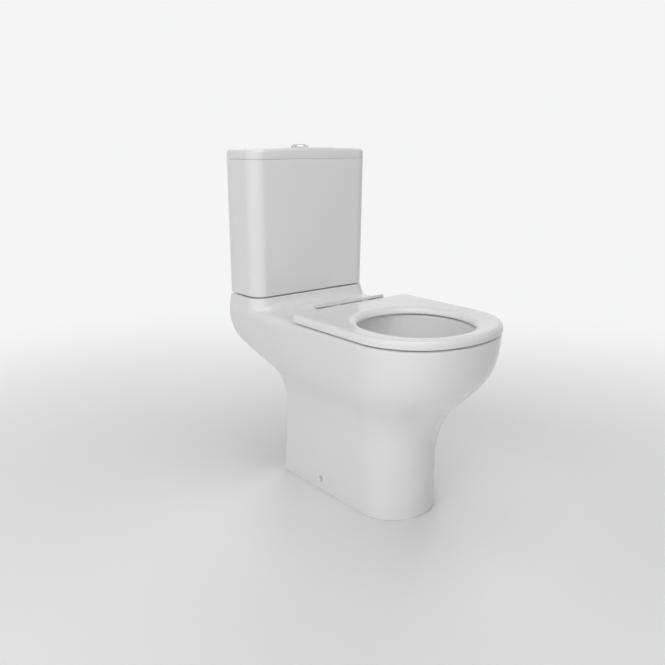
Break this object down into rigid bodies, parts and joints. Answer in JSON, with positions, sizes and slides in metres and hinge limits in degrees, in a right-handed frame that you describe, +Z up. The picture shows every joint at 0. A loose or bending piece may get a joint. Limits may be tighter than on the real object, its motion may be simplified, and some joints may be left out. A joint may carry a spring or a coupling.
{
  "type": "close-coupled toilet",
  "caption": "Close-coupled toilet: open-back floor-standing pan, cistern with split push button and lift-off lid, and a ring seat that swings up on a hinge bar.",
  "frame": {"origin": "on the floor, under the middle of the overall box", "axes": "+Z up, +Y towards the wall behind, +X to the right seen from the front"},
  "size_m": [0.368, 0.66, 0.8258],
  "materials": {
    "china": "gloss white glaze",
    "seat_plastic": "gloss white",
    "chrome": "polished",
    "rubber": "matt black",
    "buffer_rubber": "matt pale grey",
    "white_plastic": "satin white",
    "blue_plastic": "satin blue",
    "steel": "plated"
  },
  "bodies": {
    "fixture": {"bolt_seal_left": "rubber", "bolt_seal_right": "rubber", "bolt_washer_left": "steel", "bolt_washer_right": "steel", "cistern": "china", "cistern_pad_left": "rubber", "cistern_pad_right": "rubber", "coupling_bolt_left": "steel", "coupling_bolt_right": "steel", "doughnut_seal": "rubber", "fill_arm_pin": "steel", "fill_valve_body": "white_plastic", "fill_valve_cap": "white_plastic", "fill_valve_nut": "white_plastic", "fill_valve_washer": "rubber", "flush_back_nut": "white_plastic", "flush_valve_body": "white_plastic", "flush_valve_tower": "white_plastic", "flush_valve_washer": "rubber", "hinge_bar": "chrome", "hinge_post_left": "chrome", "hinge_post_right": "chrome", "lever_pin_full": "steel", "lever_pin_half": "steel", "pan_bowl": "china", "pan_deck": "china", "pan_foot": "china", "pan_inlet": "china", "pan_skirt": "china", "pan_trap": "china", "post_gasket_left": "rubber", "post_gasket_right": "rubber", "post_nut_left": "white_plastic", "post_nut_right": "white_plastic", "wing_nut_left": "steel", "wing_nut_right": "steel"},
    "seat": {"seat_buffer_front_left": "buffer_rubber", "seat_buffer_front_right": "buffer_rubber", "seat_buffer_rear_left": "buffer_rubber", "seat_buffer_rear_right": "buffer_rubber", "seat_ring": "seat_plastic"},
    "lid": {"cistern_lid": "china", "button_bezel": "chrome", "button_nut": "white_plastic", "button_guide": "white_plastic", "button_spring_full": "steel", "button_spring_half": "steel"},
    "full_button": {"button_full": "chrome", "push_rod_full": "white_plastic"},
    "half_button": {"button_half": "chrome", "push_rod_half": "white_plastic"},
    "full_lever": {"lever_full": "blue_plastic"},
    "half_lever": {"lever_half": "blue_plastic"},
    "plunger": {"flush_plunger": "blue_plastic", "flush_seal": "rubber"},
    "half_float": {"half_flush_float": "blue_plastic"},
    "float": {"fill_float": "white_plastic", "float_rod": "steel"},
    "fill_arm": {"fill_arm": "white_plastic"}
  },
  "joints": [
    {"name": "seat_hinge", "type": "hinge", "parent": "fixture", "child": "seat", "pos_m": [0, 0.072, 0.449], "axis": [-1, 0, 0], "range_deg": [0, 110]},
    {"name": "lid_lift", "type": "slide", "parent": "fixture", "child": "lid", "axis": [0, 0, 1], "range_m": [0, 0.15]},
    {"name": "full_flush_press", "type": "slide", "parent": "lid", "child": "full_button", "axis": [0, 0, -1], "range_m": [0, 0.005], "stiffness_N_per_m": 300, "springref_m": -0.006, "deforming": ["button_spring_full"]},
    {"name": "half_flush_press", "type": "slide", "parent": "lid", "child": "half_button", "axis": [0, 0, -1], "range_m": [0, 0.005], "stiffness_N_per_m": 300, "springref_m": -0.006, "deforming": ["button_spring_half"]},
    {"name": "full_lever_tip", "type": "hinge", "parent": "fixture", "child": "full_lever", "pos_m": [0.02, 0.273, 0.705], "axis": [0, -1, 0], "range_deg": [0, 25]},
    {"name": "half_lever_tip", "type": "hinge", "parent": "fixture", "child": "half_lever", "pos_m": [-0.02, 0.273, 0.705], "axis": [0, 1, 0], "range_deg": [0, 25]},
    {"name": "plunger_lift", "type": "slide", "parent": "fixture", "child": "plunger", "axis": [0, 0, 1], "range_m": [0, 0.007]},
    {"name": "half_float_lift", "type": "slide", "parent": "fixture", "child": "half_float", "axis": [0, 0, 1], "range_m": [0, 0.007]},
    {"name": "float_rise", "type": "slide", "parent": "fixture", "child": "float", "axis": [0, 0, 1], "range_m": [0, 0.012]},
    {"name": "fill_arm_tip", "type": "hinge", "parent": "fixture", "child": "fill_arm", "pos_m": [0.118, 0.273, 0.693], "axis": [0, 1, 0], "range_deg": [0, 19]}
  ],
  "couplings": [
    {"joint": "full_lever_tip", "follows": "full_flush_press", "rad_per_m": 83.333},
    {"joint": "plunger_lift", "follows": "full_flush_press", "ratio": 1.3333},
    {"joint": "half_lever_tip", "follows": "half_flush_press", "rad_per_m": 83.333},
    {"joint": "half_float_lift", "follows": "half_flush_press", "ratio": 1.3333},
    {"joint": "fill_arm_tip", "follows": "float_rise", "rad_per_m": 26.316}
  ]
}
